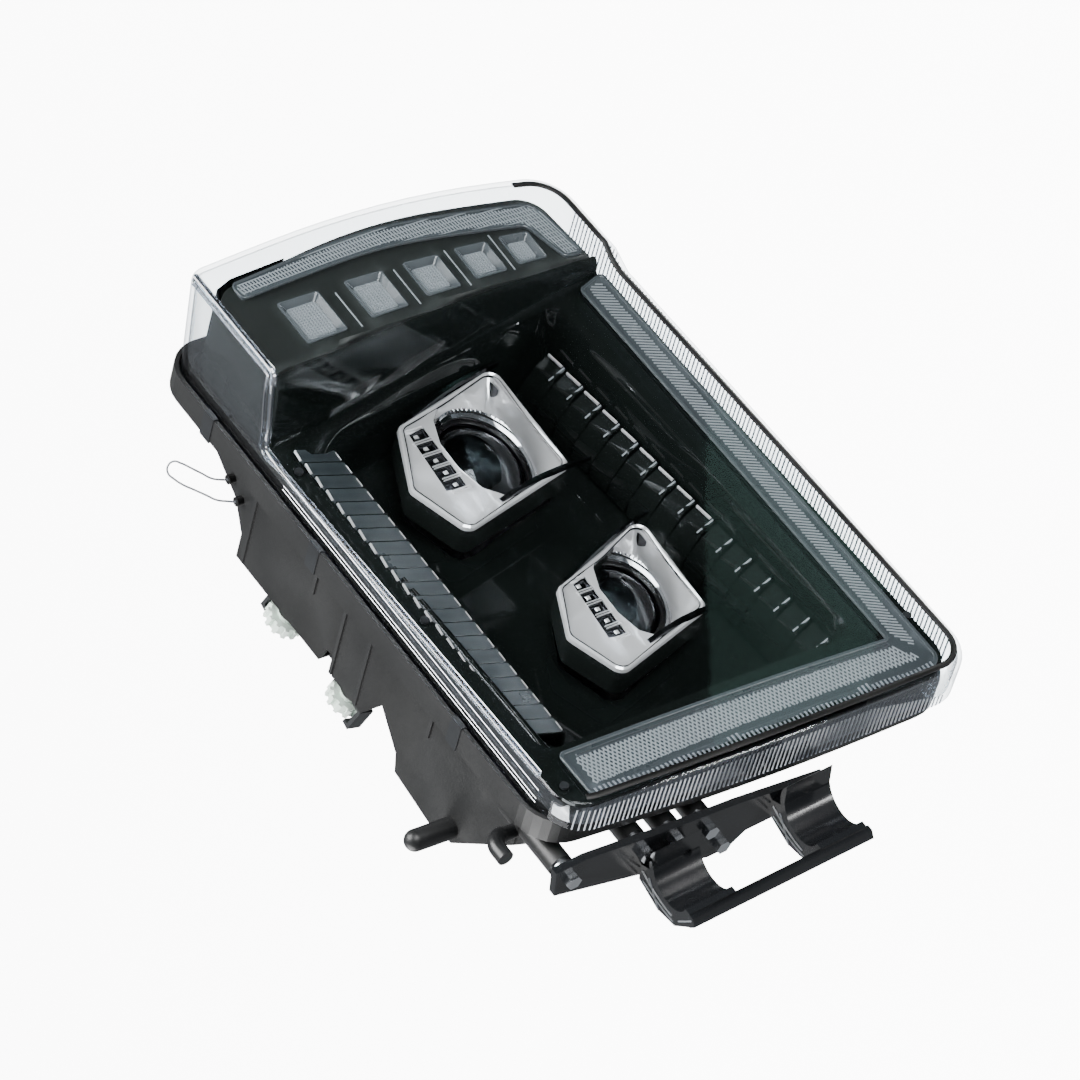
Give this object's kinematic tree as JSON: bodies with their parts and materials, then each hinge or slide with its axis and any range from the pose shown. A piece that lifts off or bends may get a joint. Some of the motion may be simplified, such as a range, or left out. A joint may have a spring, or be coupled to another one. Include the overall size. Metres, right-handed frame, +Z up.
{
  "type": "car headlight assembly",
  "caption": "Swept headlight with a stepped clear lens, two shrouded projectors, ribbed light-guide bars, a square-optic turn signal and a two-saddle hinge bracket.",
  "frame": {"origin": "middle of the hinge tube's axis, half way between the two saddles", "axes": "as mounted: -Y is the driving direction, +Z is up, +X is the lamp's outer, turn-signal end"},
  "size_m": [0.5979, 0.2994, 0.3813],
  "materials": {
    "housing_pp": "moulded black polypropylene, fine spark-eroded grain",
    "lens_pc": "clear hard-coated polycarbonate",
    "sealant": "black butyl and EPDM",
    "gloss_black": "gloss black moulded bezel",
    "satin_black": "satin black moulded panel",
    "light_guide": "frosted ribbed light guide",
    "optic_clear": "clear optic with a fine grid",
    "board_white": "white solder resist on an aluminium board",
    "carrier_metal": "black coated die casting",
    "cast_metal": "die-cast aluminium",
    "projector_glass": "ground glass lens",
    "ring_black": "black anodised ring",
    "shroud_chrome": "vacuum-metallised plastic",
    "zinc": "zinc-plated steel",
    "nylon_white": "natural nylon",
    "nylon_black": "black nylon",
    "bracket_black": "black glass-filled nylon",
    "wire_grey": "grey PVC wire"
  },
  "bodies": {
    "lamp": {"rear_housing": "housing_pp", "outer_lens": "lens_pc", "lens_sealant": "sealant", "lens_edge_bead": "sealant", "main_bezel": "gloss_black", "upper_louvre": "satin_black", "lower_teeth": "gloss_black", "signal_bezel": "satin_black", "signal_light_guide": "light_guide", "signal_optics": "optic_clear", "signal_led_board": "board_white", "drl_light_guide": "light_guide", "drl_led_board": "board_white", "adjuster_tabs": "nylon_black", "cap_seals": "sealant", "locating_peg": "nylon_black", "vent_elbow": "nylon_black", "hinge_bracket": "bracket_black", "bracket_spacers": "zinc", "bracket_bolts": "zinc", "led_driver": "cast_metal", "driver_screws": "zinc", "main_connector": "nylon_black", "wire_grommets": "sealant", "link_wire": "wire_grey", "bezel_screws": "zinc", "lens_clips": "zinc"},
    "low_projector": {"low_frame": "carrier_metal", "low_barrel": "cast_metal", "low_glass_lens": "projector_glass", "low_lens_ring": "ring_black", "low_shroud": "shroud_chrome", "low_heat_sink": "cast_metal", "low_led_board": "board_white", "low_cutoff_shield": "cast_metal"},
    "high_projector": {"high_frame": "carrier_metal", "high_barrel": "cast_metal", "high_glass_lens": "projector_glass", "high_lens_ring": "ring_black", "high_shroud": "shroud_chrome", "high_heat_sink": "cast_metal", "high_led_board": "board_white"},
    "low_rod": {"low_adjuster_rod": "zinc"},
    "high_rod": {"high_adjuster_rod": "zinc"},
    "low_knob": {"low_adjuster_knob": "nylon_white"},
    "high_knob": {"high_adjuster_knob": "nylon_white"},
    "low_cap": {"low_rear_cap": "nylon_black"},
    "high_cap": {"high_rear_cap": "nylon_black"}
  },
  "joints": [
    {"name": "low_beam_aim", "type": "hinge", "parent": "lamp", "child": "low_projector", "pos_m": [0.36514, 0.13419, -0.01394], "axis": [1, 0, 0], "range_deg": [-3, 3]},
    {"name": "high_beam_aim", "type": "hinge", "parent": "lamp", "child": "high_projector", "pos_m": [0.21731, 0.09453, -0.03148], "axis": [1, 0, 0], "range_deg": [-3, 3]},
    {"name": "low_rod_slide", "type": "slide", "parent": "lamp", "child": "low_rod", "axis": [0, 1, 0], "range_m": [-0.0068, 0.0068]},
    {"name": "high_rod_slide", "type": "slide", "parent": "lamp", "child": "high_rod", "axis": [0, 1, 0], "range_m": [-0.0078, 0.0078]},
    {"name": "low_knob_turn", "type": "hinge", "parent": "lamp", "child": "low_knob", "pos_m": [0.33414, 0.13419, 0.10806], "axis": [0, 1, 0], "range_deg": [-620, 620]},
    {"name": "high_knob_turn", "type": "hinge", "parent": "lamp", "child": "high_knob", "pos_m": [0.25331, 0.09453, 0.10852], "axis": [0, 1, 0], "range_deg": [-700, 700]},
    {"name": "low_cap_lock", "type": "hinge", "parent": "lamp", "child": "low_cap", "pos_m": [0.33304, 0.18062, -0.02055], "axis": [-0.2275, 0.9474, -0.2249], "range_deg": [0, 30]},
    {"name": "high_cap_lock", "type": "hinge", "parent": "lamp", "child": "high_cap", "pos_m": [0.19816, 0.14269, -0.04393], "axis": [-0.2275, 0.9474, -0.2249], "range_deg": [0, 30]}
  ],
  "couplings": [
    {"joint": "low_rod_slide", "follows": "low_beam_aim", "m_per_rad": -0.122},
    {"joint": "low_knob_turn", "follows": "low_beam_aim", "ratio": 191.64},
    {"joint": "high_rod_slide", "follows": "high_beam_aim", "m_per_rad": -0.14},
    {"joint": "high_knob_turn", "follows": "high_beam_aim", "ratio": 219.91}
  ]
}
